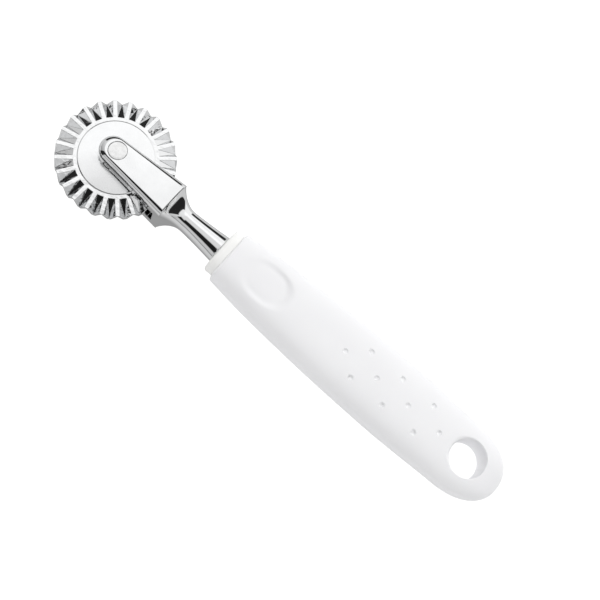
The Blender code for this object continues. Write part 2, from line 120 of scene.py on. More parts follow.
# Handle
COLLAR_HALF_WIDTH = 0.0079
COLLAR_HALF_THICKNESS = 0.0050
COLLAR_SQUARENESS = 2.6
COLLAR_EDGE_RADIUS = 0.0009
COLLAR_RINGS = (0.0445, 0.0455, 0.0463, 0.0480, 0.0494)
POCKET_START = 0.044
POCKET_END = 0.0495
HANDLE_END = 0.157
GRIP_STATIONS = (                                # along, half width, half thickness
    (0.0463, 0.0092, 0.0060),
    (0.0600, 0.01065, 0.0063),
    (0.0750, 0.0116, 0.0064),
    (0.0900, 0.01225, 0.0064),
    (0.1050, 0.01255, 0.00635),
    (0.1180, 0.0126, 0.0062),
    (0.1380, 0.0119, 0.0058),
)
GRIP_SQUARENESS = 2.8
GRIP_MOUTH_RADIUS = 0.0008
BUTT_WIDTH_POWERS = (2.4, 1 / 2.2)               # inner and outer powers of the butt's curves
BUTT_THICKNESS_POWERS = (3.2, 0.5)
BUTT_LAST_GAP = 0.15                             # of a step, so that its last ring keeps a width
HANDLE_SIDES = 112
HANG_HOLE_ALONG = 0.1433
HANG_HOLE_RADIUS = 0.0061
HANG_HOLE_EDGE_RADIUS = 0.0012
HANG_HOLE_FACE = 0.0056
HANG_HOLE_SIDES = 128
THUMB_ALONG = 0.0606
THUMB_HALF_LENGTH = 0.0088
THUMB_HALF_WIDTH = 0.0066
THUMB_DEPTH = 0.0012
THUMB_OVAL_POWER = 2.4
THUMB_LIMIT = 1.15                               # the hollow ends inside this share of its half size
THUMB_WALL_START = 0.66                          # its wall's foot at the near end, as such a share
THUMB_WALL_GAIN = 0.19                           # and how much further out it is at the far end
THUMB_WALL_END = 1.03
THUMB_MIDDLE_DEPTH = 0.62                        # share of the depth at its middle
THUMB_TILT = 0.38
DIMPLE_ROWS = 7
DIMPLE_SIDES = 28
DIMPLE_RADIUS = 0.00085
DIMPLE_START = 0.0929
DIMPLE_PITCH = 0.0064
DIMPLE_SIDE = 0.0055
DIMPLE_DEPTH = 0.0006
DIMPLE_PROFILE = (                               # share of the radius, height from the surface
    (0.0, -DIMPLE_DEPTH),
    (0.45, -DIMPLE_DEPTH * 0.92),
    (0.75, -DIMPLE_DEPTH * 0.62),
    (0.90, -DIMPLE_DEPTH * 0.25),
    (1.05, -0.00003),
    (1.60, 0.00055),
    (1.60, 0.0020),
    (0.0, 0.0020),
)

SHARP_DEGREES = 32.0                             # edges steeper than this stay crisp

# Colours, and the scales and depths of the materials' noise
PLATING_TINT = (0.82, 0.825, 0.83)
RIVET_TINT = (0.80, 0.80, 0.80)
BUSH_TINT = (0.62, 0.62, 0.63)
WASHER_TINT = (0.66, 0.66, 0.67)
COLLAR_TINT = (0.955, 0.955, 0.94)
COLLAR_SHADE = (0.93, 0.93, 0.912)
GRIP_TINT = (0.925, 0.925, 0.938)
GRIP_SHADE = (0.902, 0.902, 0.917)
PATCH_SCALE = 160.0
MARK_SCALE = 900.0
MARK_DEPTH = 0.00002
WAVE_SCALE = 210.0
WAVE_DEPTH = 0.00006
RIPPLE_SCALE = 700.0
RIPPLE_DEPTH = 0.0002
RING_SCALE = 900.0
RING_DEPTH = 0.00002
STEEL_PATCH_SCALE = 600.0
CLOUD_SCALE = 55.0
SINK_SCALE = 120.0
SINK_DEPTH = 0.0002
GRAIN_SCALE = 2600.0
GRAIN_DEPTH = 0.00004

# Light
FLOOR_HALF_SIZE = 1.5
FLOOR_GLOW = 1.0
FLOOR_GAP = 0.00005                              # keeps the floor clear of the fork's back face
KEY_AZIMUTH = 80.0
KEY_ELEVATION = 35.0
WORLD_FAR = 0.12                                 # brightness opposite the key
WORLD_KEY = 1.66                                 # and at the key
MIRROR_SHARE = 0.67                              # of that brightness, seen in reflections
WORLD_CARDS = (
    (0.0, 180.0, -91.0, -1.0, 2.0, 1.08),        # the table, in reflections
    (0.0, 180.0, -91.0, -62.0, 34.0, 0.55),      # the table close under the tool
    (115.0, 70.0, 58.0, 91.0, 8.0, 1.84),        # softbox overhead
    (-95.0, 55.0, 8.0, 30.0, 4.0, 0.95),         # low front light
    (-95.0, 75.0, 0.5, 5.0, 2.0, 0.35),          # gap between the table and the front light
    (-113.0, 29.0, 35.0, 66.0, 4.0, 0.02),       # behind and above the camera, to its left
    (-54.0, 32.0, 35.0, 56.0, 4.0, 0.02),        # and to its right
    (0.0, 180.0, 79.0, 91.0, 10.0, 1.24),        # the softbox fades over the zenith
    (126.0, 32.0, -3.0, 22.0, 4.0, 0.04),        # low at the back left
    (20.0, 20.0, 3.0, 45.0, 4.0, 0.03),          # at the right
    (-137.0, 11.0, -16.0, 40.0, 4.0, 0.03),      # upright, at the front left
)


# ---------------------------------------------------------------- node helpers

def new_material(name):
    mat = bpy.data.materials.new(name)
    mat.use_nodes = True
    tree = mat.node_tree
    shader = tree.nodes["Principled BSDF"]
    coords = tree.nodes.new("ShaderNodeTexCoord")
    return mat, tree, shader, coords.outputs["Object"]


def noise(tree, vector, scale, detail=4.0, roughness=0.55):
    node = tree.nodes.new("ShaderNodeTexNoise")
    node.inputs["Scale"].default_value = scale
    node.inputs["Detail"].default_value = detail
    node.inputs["Roughness"].default_value = roughness
    tree.links.new(vector, node.inputs["Vector"])
    return node.outputs["Fac"]


def stretched(tree, vector, scale):
    node = tree.nodes.new("ShaderNodeMapping")
    node.inputs["Scale"].default_value = scale
    tree.links.new(vector, node.inputs["Vector"])
    return node.outputs["Vector"]


def maths(tree, operation, first, second=None):
    node = tree.nodes.new("ShaderNodeMath")
    node.operation = operation
    for socket, value in zip(node.inputs, (first, second)):
        if value is None:
            continue
        if isinstance(value, (int, float)):
            socket.default_value = value
        else:
            tree.links.new(value, socket)
    return node.outputs[0]


def ranged(tree, value, low, high, start=0.0, end=1.0):
    node = tree.nodes.new("ShaderNodeMapRange")
    node.inputs["From Min"].default_value = start
    node.inputs["From Max"].default_value = end
    node.inputs["To Min"].default_value = low
    node.inputs["To Max"].default_value = high
    tree.links.new(value, node.inputs["Value"])
    return node.outputs["Result"]


def two_colours(tree, factor, first, second):
    node = tree.nodes.new("ShaderNodeMix")
    node.data_type = "RGBA"
    node.inputs[6].default_value = (*first, 1.0)
    node.inputs[7].default_value = (*second, 1.0)
    tree.links.new(factor, node.inputs["Factor"])
    return node.outputs[2]


def bump(tree, height, strength, distance, before=None):
    node = tree.nodes.new("ShaderNodeBump")
    node.inputs["Strength"].default_value = strength
    node.inputs["Distance"].default_value = distance
    tree.links.new(height, node.inputs["Height"])
    if before is not None:
        tree.links.new(before, node.inputs["Normal"])
    return node.outputs["Normal"]


# ------------------------------------------------------------------- materials

def darkened(tint, share):
    return tuple(part * share for part in tint)


def mottle(tree, shader, patches, tint, shade, start=0.35, end=0.7):
    """A colour that wanders from the tint to the shade as the noise goes from start to end."""
    colour = two_colours(tree, ranged(tree, patches, 0.0, 1.0, start, end), tint, shade)
    tree.links.new(colour, shader.inputs["Base Color"])


def plated_casting(name, tint, base_roughness):
    """Bright plating over a die casting: faint waviness, fine handling marks, slightly darker patches."""
    mat, tree, shader, coords = new_material(name)
    mottle(tree, shader, noise(tree, coords, PATCH_SCALE, 5.0, 0.6), tint, darkened(tint, 0.93))
    marks = noise(tree, stretched(tree, coords, (1.0, 7.0, 7.0)), MARK_SCALE, 3.0, 0.6)
    rough = ranged(tree, marks, base_roughness, base_roughness + 0.07, 0.45, 0.75)
    tree.links.new(rough, shader.inputs["Roughness"])
    waves = bump(tree, noise(tree, coords, WAVE_SCALE, 1.0), 0.20, WAVE_DEPTH)
    tree.links.new(bump(tree, marks, 0.05, MARK_DEPTH, waves), shader.inputs["Normal"])
    shader.inputs["Metallic"].default_value = 1.0
    return mat


def distance_from_axle(tree, coords):
    """How far a point is from the upright line through the axle."""
    flat = tree.nodes.new("ShaderNodeVectorMath")
    flat.operation = "MULTIPLY"
    tree.links.new(coords, flat.inputs[0])
    flat.inputs[1].default_value = (1.0, 1.0, 0.0)
    length = tree.nodes.new("ShaderNodeVectorMath")
    length.operation = "LENGTH"
    tree.links.new(flat.outputs["Vector"], length.inputs[0])
    return length.outputs["Value"]


def plated_wheel(name, tint):
    """The casting's plating, satin on the boss and bright but uneven in the flutes."""
    mat, tree, shader, coords = new_material(name)
    radius = distance_from_axle(tree, coords)
    fluted = ranged(tree, radius, 0.0, 1.0, BOSS_RADIUS - 0.0001, BOSS_RADIUS + 0.0001)
    mottle(tree, shader, noise(tree, coords, PATCH_SCALE, 5.0, 0.6), tint, darkened(tint, 0.94))
    marks = noise(tree, coords, MARK_SCALE, 3.0, 0.6)
    satin = ranged(tree, marks, BOSS_ROUGHNESS - 0.03, BOSS_ROUGHNESS + 0.03, 0.3, 0.7)
    bright = ranged(tree, marks, 0.05, 0.11, 0.45, 0.75)
    blend = tree.nodes.new("ShaderNodeMix")
    tree.links.new(fluted, blend.inputs["Factor"])
    tree.links.new(satin, blend.inputs["A"])
    tree.links.new(bright, blend.inputs["B"])
    tree.links.new(blend.outputs["Result"], shader.inputs["Roughness"])
    ripple = maths(tree, "MULTIPLY", noise(tree, coords, RIPPLE_SCALE, 2.0, 0.5), fluted)
    uneven = bump(tree, ripple, 0.50, RIPPLE_DEPTH)
    tree.links.new(bump(tree, marks, 0.05, MARK_DEPTH, uneven), shader.inputs["Normal"])
    shader.inputs["Metallic"].default_value = 1.0
    return mat


def turned_steel(name, tint, base_roughness, centre):
    """Plain steel with fine rings about an upright axis."""
    mat, tree, shader, coords = new_material(name)
    shift = tree.nodes.new("ShaderNodeMapping")
    shift.inputs["Location"].default_value = (-centre.x, -centre.y, 0.0)
    tree.links.new(coords, shift.inputs["Vector"])
    rings = tree.nodes.new("ShaderNodeTexWave")
    rings.wave_type = "RINGS"
    rings.rings_direction = "Z"
    rings.inputs["Scale"].default_value = RING_SCALE
    rings.inputs["Distortion"].default_value = 0.6
    rings.inputs["Detail"].default_value = 2.0
    tree.links.new(shift.outputs["Vector"], rings.inputs["Vector"])
    mottle(tree, shader, noise(tree, coords, STEEL_PATCH_SCALE, 4.0, 0.6), tint, darkened(tint, 0.85))
    tree.links.new(ranged(tree, rings.outputs["Fac"], base_roughness, base_roughness + 0.06),
                   shader.inputs["Roughness"])
    tree.links.new(bump(tree, rings.outputs["Fac"], 0.06, RING_DEPTH), shader.inputs["Normal"])
    shader.inputs["Metallic"].default_value = 1.0
    return mat


def moulded_plastic(name, tint, shade, base_roughness, grain):
    """White moulded plastic: slight clouding in the colour and a fine eroded grain."""
    mat, tree, shader, coords = new_material(name)
    mottle(tree, shader, noise(tree, coords, CLOUD_SCALE, 3.0, 0.5), tint, shade, start=0.3)
    speckle = noise(tree, coords, GRAIN_SCALE, 3.0, 0.6)
    tree.links.new(ranged(tree, speckle, base_roughness - 0.04, base_roughness + 0.06, 0.3, 0.7),
                   shader.inputs["Roughness"])
    soft = bump(tree, noise(tree, coords, SINK_SCALE, 2.0), 0.05, SINK_DEPTH)
    tree.links.new(bump(tree, speckle, grain, GRAIN_DEPTH, soft), shader.inputs["Normal"])
    shader.inputs["Specular IOR Level"].default_value = 0.45
    return mat


# -------------------------------------------------------------- mesh helpers

def add_piece(name, bm, mat, sharp_degrees=SHARP_DEGREES):
    bmesh.ops.recalc_face_normals(bm, faces=bm.faces)
    mesh = bpy.data.meshes.new(name)
    bm.to_mesh(mesh)
    bm.free()
    mesh.materials.append(mat)
    piece = bpy.data.objects.new(name, mesh)
    piece.location = AXLE
    bpy.context.scene.collection.objects.link(piece)
    shade_smooth(piece, sharp_degrees)
    return piece


def shade_smooth(piece, sharp_degrees):
    for polygon in piece.data.polygons:
        polygon.use_smooth = True
    piece.data.set_sharp_from_angle(angle=math.radians(sharp_degrees))


def bake_modifiers(piece, sharp_degrees=SHARP_DEGREES):
    """Turn the piece's modifiers into its mesh, weld it and shade it again."""
    bpy.context.view_layer.update()
    evaluated = piece.evaluated_get(bpy.context.evaluated_depsgraph_get())
    mesh = bpy.data.meshes.new_from_object(evaluated)
    piece.modifiers.clear()
    old = piece.data
    piece.data = mesh
    bpy.data.meshes.remove(old)
    bm = bmesh.new()
    bm.from_mesh(mesh)
    bmesh.ops.remove_doubles(bm, verts=bm.verts, dist=0.000002)
    bm.to_mesh(mesh)
    bm.free()
    shade_smooth(piece, sharp_degrees)


def cut(piece, cutter, operation="DIFFERENCE"):
    """Cut, join or intersect a piece with another, and remove the other."""
    modifier = piece.modifiers.new(cutter.name, "BOOLEAN")
    modifier.operation = operation
    modifier.solver = "EXACT"
    modifier.object = cutter
    bake_modifiers(piece)
    bpy.data.objects.remove(cutter, do_unlink=True)


def soften_edges(piece, width, angle):
    """Small rounded edges where faces meet at more than an angle; flat faces stay flat in the shading."""
    bevel = piece.modifiers.new("Soft edges", "BEVEL")
    bevel.width = width
    bevel.segments = 2
    bevel.limit_method = "ANGLE"
    bevel.angle_limit = math.radians(angle)
    bake_modifiers(piece, 60.0)
    weighted = piece.modifiers.new("Flat faces stay flat", "WEIGHTED_NORMAL")
    weighted.keep_sharp = True
    weighted.weight = 50


def oval_points(half_width, half_thickness, squareness, count):
    points = []
    for step in range(count):
        angle = math.tau * step / count
        cosine = math.cos(angle)
        sine = math.sin(angle)
        y = half_width * math.copysign(abs(cosine) ** (2 / squareness), cosine)
        z = half_thickness * math.copysign(abs(sine) ** (2 / squareness), sine)
        points.append((y, z))
    return points


def join_rings(bm, rings, closed_ends=True):
    count = len(rings[0])
    for near, far in zip(rings, rings[1:]):
        for index in range(count):
            following = (index + 1) % count
            bm.faces.new((near[index], near[following], far[following], far[index]))
    if closed_ends:
        bm.faces.new(rings[0])
        bm.faces.new(rings[-1])


def lofted(stations, count):
    """A solid through (along, half width, half thickness, squareness) sections."""
    bm = bmesh.new()
    rings = []
    for along, half_width, half_thickness, squareness in stations:
        section = oval_points(half_width, half_thickness, squareness, count)
        rings.append([bm.verts.new((along, y, z)) for y, z in section])
    join_rings(bm, rings)
    return bm


def turned(profile, steps, along=0.0):
    """A solid turned about an upright axis from (radius, height) points that start and end on it."""
    bm = bmesh.new()
    rings = []
    for radius, height in profile:
        if radius < 1e-7:
            rings.append([bm.verts.new((along, 0.0, height))])
            continue
        ring = []
        for step in range(steps):
            angle = math.tau * step / steps
            ring.append(bm.verts.new((along + radius * math.cos(angle), radius * math.sin(angle), height)))
        rings.append(ring)
    for near, far in zip(rings, rings[1:]):
        for step in range(steps):
            following = (step + 1) % steps
            if len(near) == 1:
                bm.faces.new((near[0], far[following], far[step]))
            elif len(far) == 1:
                bm.faces.new((near[step], near[following], far[0]))
            else:
                bm.faces.new((near[step], near[following], far[following], far[step]))
    return bm


def eased(stations, along, column):
    """A smooth curve through one column of the stations (Catmull-Rom)."""
    last = len(stations) - 1
    index = 0
    while index < last - 1 and along > stations[index + 1][0]:
        index += 1
    first = stations[index]
    second = stations[index + 1]
    before = stations[max(index - 1, 0)]
    after = stations[min(index + 2, last)]
    span = second[0] - first[0]
    slope_in = (second[column] - before[column]) / (second[0] - before[0]) * span
    slope_out = (after[column] - first[column]) / (after[0] - first[0]) * span
    t = (along - first[0]) / span
    start_weight = 2 * t ** 3 - 3 * t ** 2 + 1
    end_weight = 3 * t ** 2 - 2 * t ** 3
    in_weight = t ** 3 - 2 * t ** 2 + t
    out_weight = t ** 3 - t ** 2
    return (start_weight * first[column] + end_weight * second[column]
            + in_weight * slope_in + out_weight * slope_out)


def smooth_step(low, high, value):
    t = min(max((value - low) / (high - low), 0.0), 1.0)
    return t * t * (3 - 2 * t)


# --------------------------------------------------------------------- wheel

def on_land_edge(land_angle, edge, radius):
    """A point on a land's straight edge; edge is +1 on the side of larger angles."""
    x = radius * math.cos(land_angle) - edge * LAND_HALF_WIDTH * math.sin(land_angle)
    y = radius * math.sin(land_angle) + edge * LAND_HALF_WIDTH * math.cos(land_angle)
    return x, y


def wheel_face(bm, side):
    """One face: hub, disc, flutes and lands. Returns the bore's ring, land corners and flute tips."""
    pitch = math.tau / FLUTES
    offset = 0.0 if side > 0 else 0.5
    profile = (
        (BORE_RADIUS, HUB_HALF),
        (HUB_RADIUS, HUB_HALF),
        (HUB_FOOT_RADIUS, BOSS_HALF),
        (BOSS_RADIUS * 0.70, BOSS_HALF - BOSS_DOME * 0.35),
        (BOSS_RADIUS - 0.0003, BOSS_HALF - BOSS_DOME),
        (BOSS_RADIUS, RIM_HALF),
    )
    count = FLUTES * DISC_STEPS
    rings = []
    for radius, height in profile:
        ring = []
        for step in range(count):
            angle = (step / DISC_STEPS + offset - 0.5) * pitch + FLUTE_TURN
            ring.append(bm.verts.new((radius * math.cos(angle), radius * math.sin(angle), side * height)))
        rings.append(ring)
    join_rings(bm, rings, closed_ends=False)
    lands = []
    tips = []
    for index in range(FLUTES):
        angle = (index + offset) * pitch + FLUTE_TURN
        corners = []
        for edge in (-1, 1):
            inner = bm.verts.new((*on_land_edge(angle, edge, FLUTE_START), side * RIM_HALF))
            x, y = on_land_edge(angle, edge, WHEEL_RADIUS)
            shrink = WHEEL_RADIUS / math.hypot(x, y)
            outer = bm.verts.new((x * shrink, y * shrink, side * RIM_HALF))
            corners.append((inner, outer))
        lands.append(corners)
        flute = angle + pitch / 2
        depth = side * (RIM_HALF - FLUTE_DEPTH)
        tips.append(bm.verts.new((WHEEL_RADIUS * math.cos(flute), WHEEL_RADIUS * math.sin(flute), depth)))
    foot = rings[-1]
    for index in range(FLUTES):
        following = (index + 1) % FLUTES
        (in_low, out_low), (in_high, out_high) = lands[index]
        next_in, next_out = lands[following][0]
        tip = tips[index]
        bm.faces.new((in_low, out_low, out_high, in_high))
        bm.faces.new((in_high, tip, next_in))
        bm.faces.new((in_high, out_high, tip))
        bm.faces.new((next_in, tip, next_out))
        first = index * DISC_STEPS
        arc = [foot[(first + step) % count] for step in range(DISC_STEPS + 1)]
        bm.faces.new((*arc, in_high, in_low))
        bm.faces.new((arc[-1], next_in, in_high))
    return rings[0], lands, tips


def fluted_wheel(mat):
    """The rim's edge runs as a zigzag, because the back's lands lie behind the front's flutes."""
    bm = bmesh.new()
    front_bore, front_lands, front_tips = wheel_face(bm, 1)
    back_bore, back_lands, back_tips = wheel_face(bm, -1)
    half_pitch = DISC_STEPS // 2
    count = len(front_bore)
    for index in range(count):
        following = (index + 1) % count
        back = (index - half_pitch) % count
        back_following = (following - half_pitch) % count
        bm.faces.new((front_bore[index], front_bore[following], back_bore[back_following], back_bore[back]))
    for index in range(FLUTES):
        following = (index + 1) % FLUTES
        out_low = front_lands[index][0][1]
        out_high = front_lands[index][1][1]
        next_low = front_lands[following][0][1]
        tip = front_tips[index]
        back_tip = back_tips[index - 1]
        next_back_tip = back_tips[index]
        back_low = back_lands[index][0][1]
        back_high = back_lands[index][1][1]
        bm.faces.new((out_low, out_high, back_tip))
        bm.faces.new((out_high, tip, back_low, back_tip))
        bm.faces.new((tip, back_high, back_low))
        bm.faces.new((tip, next_low, next_back_tip, back_high))
    wheel = add_piece("wheel_fluted", bm, mat)
    soften_edges(wheel, WHEEL_EDGE, 14.0)
    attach(wheel, "wheel")
    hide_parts("pastry_wheel")


# ---------------------------------------------------------------------- fork

def arm_outline(bulge, end, nose_steps=28):
    """The fork's outline, from its flat face at 0 to its widest at 1, as (along, y) points."""
    centre, radius, neck_half_width = (
        face + (side - face) * bulge for face, side in zip(ARM_FACE, ARM_SIDE))
    slope = math.atan2(neck_half_width - radius, YOKE_END - centre)
    points = []
    for step in range(nose_steps + 1):
        angle = math.pi / 2 + slope + (math.pi - 2 * slope) * step / nose_steps
        points.append((centre + radius * math.cos(angle), radius * math.sin(angle)))
    last_x, last_y = points[-1]
    side_steps = 6
    lower = []
    for step in range(1, side_steps + 1):
        along = last_x + (end - last_x) * step / side_steps
        lower.append((along, last_y - (along - last_x) * math.tan(slope)))
    upper = [(along, -y) for along, y in reversed(lower)]
    return points + lower + upper


def yoke_solid():
    """The outline built up through the fork's depth; a crisp rim leads into sides that bulge out."""
    bm = bmesh.new()
    end = NECK_ALONG + 0.002
    side_steps = 14
    levels = []
    for step in range(side_steps + 1):
        angle = ARM_RIM_ANGLE + (math.pi / 2 - ARM_RIM_ANGLE) * step / side_steps
        bulge = (math.sin(angle) - math.sin(ARM_RIM_ANGLE)) / (1 - math.sin(ARM_RIM_ANGLE))
        height = FORK_HALF_DEPTH - ARM_SIDE_RADIUS * (math.cos(ARM_RIM_ANGLE) - math.cos(angle))
        levels.append((bulge, height))
    levels += [(bulge, -height) for bulge, height in reversed(levels)]
    rings = []
    for bulge, height in levels:
        rings.append([bm.verts.new((x, y, height)) for x, y in arm_outline(bulge, end)])
    join_rings(bm, rings)
    return bm


def neck_radius(rise):
    run = NECK_ALONG - YOKE_END
    return (run ** 2 + rise ** 2) / (2 * rise)


def face_end(part):
    """The rounded end of the fork's face, from its start at 0 to the cove at 1, as (along, height)."""
    angle = FACE_END_SLOPE * (FACE_END_START + (1 - FACE_END_START) * part)
    along = YOKE_END - FACE_END_ROUNDING * (math.sin(FACE_END_SLOPE) - math.sin(angle))
    height = FORK_HALF_DEPTH - FACE_END_ROUNDING * (1 - math.cos(angle))
    return along, height


def stem_envelope():
    """A wide block around the arms that rounds off and coves in behind them."""
    side_cove = neck_radius(ARM_SIDE[2] - NECK_HALF_WIDTH)
    face_cove = neck_radius(face_end(1.0)[1] - NECK_HALF_THICKNESS)
    block_end = face_end(0.0)[0] - 0.0001
    stations = [
        (BLOCK_START, BLOCK_HALF_WIDTH, BLOCK_HALF_DEPTH, BLOCK_SQUARENESS),
        (block_end, BLOCK_HALF_WIDTH, BLOCK_HALF_DEPTH, BLOCK_SQUARENESS),
    ]
    rounding_steps = 8
    corner_allowance = 0.00004
    for step in range(rounding_steps):
        along, height = face_end(step / rounding_steps)
        stations.append((along, BLOCK_HALF_WIDTH, height + corner_allowance, BLOCK_SQUARENESS))
    cove_steps = 26
    for step in range(cove_steps + 1):
        part = step / cove_steps
        along = YOKE_END + (NECK_ALONG - YOKE_END) * part
        left = NECK_ALONG - along
        half_width = NECK_HALF_WIDTH + side_cove - math.sqrt(side_cove ** 2 - left ** 2)
        half_thickness = NECK_HALF_THICKNESS + face_cove - math.sqrt(face_cove ** 2 - left ** 2)
        settled = 1 - (1 - part) ** 2
        squareness = NECK_START_SQUARENESS + (STEM_SQUARENESS - NECK_START_SQUARENESS) * settled
        stations.append((along, half_width, half_thickness, squareness))
    return stations


def stem_stations():
    stations = []
    steps = 24
    for step in range(steps + 1):
        part = step / steps
        along = NECK_ALONG + (STEM_END - SEAT_GAP - NECK_ALONG) * part
        half_width = NECK_HALF_WIDTH + (STEM_END_HALF_WIDTH - NECK_HALF_WIDTH) * part ** 1.3
        half_thickness = NECK_HALF_THICKNESS + (STEM_END_HALF_THICKNESS - NECK_HALF_THICKNESS) * part
        squareness = STEM_SQUARENESS + (STEM_END_SQUARENESS - STEM_SQUARENESS) * part
        stations.append((along, half_width, half_thickness, squareness))
    return stations


def fork_casting(mat):
    fork = add_piece("fork_casting", yoke_solid(), mat)
    envelope = stem_envelope()
    envelope.append((NECK_ALONG + 0.0001, *envelope[-1][1:]))
    cut(fork, add_piece("fork_envelope", lofted(envelope, FORK_SIDES), mat), "INTERSECT")
    cut(fork, add_piece("fork_stem", lofted(stem_stations(), FORK_SIDES), mat), "UNION")
    slot = bmesh.new()
    bmesh.ops.create_cube(slot, size=1.0)
    for vert in slot.verts:
        vert.co.x = SLOT_END if vert.co.x > 0 else -0.02
        vert.co.y *= 0.03
        vert.co.z *= 2 * SLOT_HALF_WIDTH
    cut(fork, add_piece("fork_slot", slot, mat))
    cut(fork, add_piece("fork_bore", rivet_seat(), mat))
    soften_edges(fork, FORK_EDGE, 40.0)
    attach(fork, "handle")
    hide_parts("fork")


def rivet_seat():
    """Cutter for the rivet's hole, with the seats of its head and tail."""
    above = FORK_HALF_DEPTH + 0.001
    seat_top = FORK_HALF_DEPTH - RIVET_HEAD_DEPTH - SEAT_GAP
    seat_bottom = -FORK_HALF_DEPTH + RIVET_TAIL_DEPTH + SEAT_GAP
    profile = (
        (0.0, above),
        (RIVET_HEAD_RADIUS + SEAT_GAP, above),
        (RIVET_HEAD_RADIUS + SEAT_GAP, seat_top),
        (RIVET_RADIUS + SEAT_GAP, seat_top),
        (RIVET_RADIUS + SEAT_GAP, seat_bottom),
        (RIVET_TAIL_RADIUS + SEAT_GAP, seat_bottom),
        (RIVET_TAIL_RADIUS + SEAT_GAP, -above),
        (0.0, -above),
    )
    bm = turned(profile, TURNED_SIDES)
    for vert in bm.verts:
        if vert.co.z > 0 and math.hypot(vert.co.x, vert.co.y) > RIVET_HEAD_RADIUS:
            vert.co.x = vert.co.x * HEAD_SEAT_SPREAD + HEAD_SEAT_SHIFT[0]
            vert.co.y = vert.co.y * HEAD_SEAT_SPREAD + HEAD_SEAT_SHIFT[1]
    return bm


# ----------------------------------------------------------------- axle rivet

def rivet(mat):
    """Flat head with a worn edge on the front, hammered tail with a shallow dish on the back."""
    low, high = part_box("axle_rivet")
    top = high.z - AXLE.z
    bottom = low.z - AXLE.z
    head_bottom = FORK_HALF_DEPTH - RIVET_HEAD_DEPTH
    tail_top = -FORK_HALF_DEPTH + RIVET_TAIL_DEPTH
    profile = [(0.0, top - 0.00001), (RIVET_HEAD_RADIUS * 0.7, top)]
    edge_steps = 4
    for step in range(edge_steps + 1):
        angle = math.pi / 2 * step / edge_steps
        radius = RIVET_HEAD_RADIUS - RIVET_EDGE * (1 - math.sin(angle))
        profile.append((radius, top - RIVET_EDGE * (1 - math.cos(angle))))
    profile += [
        (RIVET_HEAD_RADIUS, head_bottom),
        (RIVET_RADIUS, head_bottom),
        (RIVET_RADIUS, tail_top),
        (RIVET_TAIL_RADIUS, tail_top),
        (RIVET_TAIL_RADIUS, bottom + RIVET_EDGE),
        (RIVET_TAIL_RADIUS - RIVET_EDGE, bottom),
        (RIVET_TAIL_RADIUS * 0.55, bottom),
        (RIVET_TAIL_RADIUS * 0.40, bottom + 0.00025),
        (0.0, bottom + 0.00035),
    ]
    piece = add_piece("rivet_turned", turned(profile, TURNED_SIDES), mat, 40.0)
    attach(piece, "handle")
    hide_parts("axle_rivet")


# --------------------------------------------------------------------- handle

def butt_curve(part, powers):
    return (1 - part ** powers[0]) ** powers[1]


def grip_stations():
    mouth = GRIP_STATIONS[0][0]
    body_end, end_width, end_thickness = GRIP_STATIONS[-1]
    stations = []
    mouth_steps = 8
    for step in range(mouth_steps + 1):
        angle = math.pi / 2 * step / mouth_steps
        along = mouth + GRIP_MOUTH_RADIUS * (1 - math.cos(angle))
        inset = GRIP_MOUTH_RADIUS * (1 - math.sin(angle))
        half_width = eased(GRIP_STATIONS, along, 1) - inset
        half_thickness = eased(GRIP_STATIONS, along, 2) - inset
        stations.append((along, half_width, half_thickness, GRIP_SQUARENESS))
    start = stations[-1][0]
    body_steps = 84
    for step in range(1, body_steps + 1):
        along = start + (body_end - start) * step / body_steps
        half_width = eased(GRIP_STATIONS, along, 1)
        half_thickness = eased(GRIP_STATIONS, along, 2)
        stations.append((along, half_width, half_thickness, GRIP_SQUARENESS))
    butt_steps = 30
    for step in range(1, butt_steps + 1):
        part = math.sin(math.pi / 2 * step / (butt_steps + BUTT_LAST_GAP))
        along = body_end + (HANDLE_END - body_end) * part
        half_width = end_width * butt_curve(part, BUTT_WIDTH_POWERS)
        half_thickness = end_thickness * butt_curve(part, BUTT_THICKNESS_POWERS)
        stations.append((along, half_width, half_thickness, GRIP_SQUARENESS))
    return stations


def press_thumb_rest(bm):
    """A shallow oval hollow on the front that is deeper, with a steeper wall, at its far end."""
    for vert in bm.verts:
        if vert.co.z <= 0.0:
            continue
        reach_x = (vert.co.x - THUMB_ALONG) / THUMB_HALF_LENGTH
        reach_y = vert.co.y / THUMB_HALF_WIDTH
        reach = math.sqrt(abs(reach_x) ** THUMB_OVAL_POWER + abs(reach_y) ** THUMB_OVAL_POWER)
        if reach >= THUMB_LIMIT:
            continue
        wall = THUMB_WALL_START + THUMB_WALL_GAIN * min(max(reach_x, 0.0), 1.0)
        fall = 1.0 - smooth_step(wall, THUMB_WALL_END, reach)
        vert.co.z -= THUMB_DEPTH * fall * (THUMB_MIDDLE_DEPTH + THUMB_TILT * reach_x)


def hang_hole_cutter():
    flare = HANG_HOLE_EDGE_RADIUS
    upper = []
    flare_steps = 10
    for step in range(flare_steps + 1):
        angle = math.pi / 2 * step / flare_steps
        radius = HANG_HOLE_RADIUS + flare * (1 - math.sin(angle))
        height = HANG_HOLE_FACE + 0.0001 - flare * (1 - math.cos(angle))
        upper.append((radius, height))
    above = HANG_HOLE_FACE + 0.003
    profile = [(0.0, above), (upper[0][0], above)] + upper
    profile += [(radius, -height) for radius, height in reversed(profile)]
    return turned(profile, HANG_HOLE_SIDES, HANG_HOLE_ALONG)


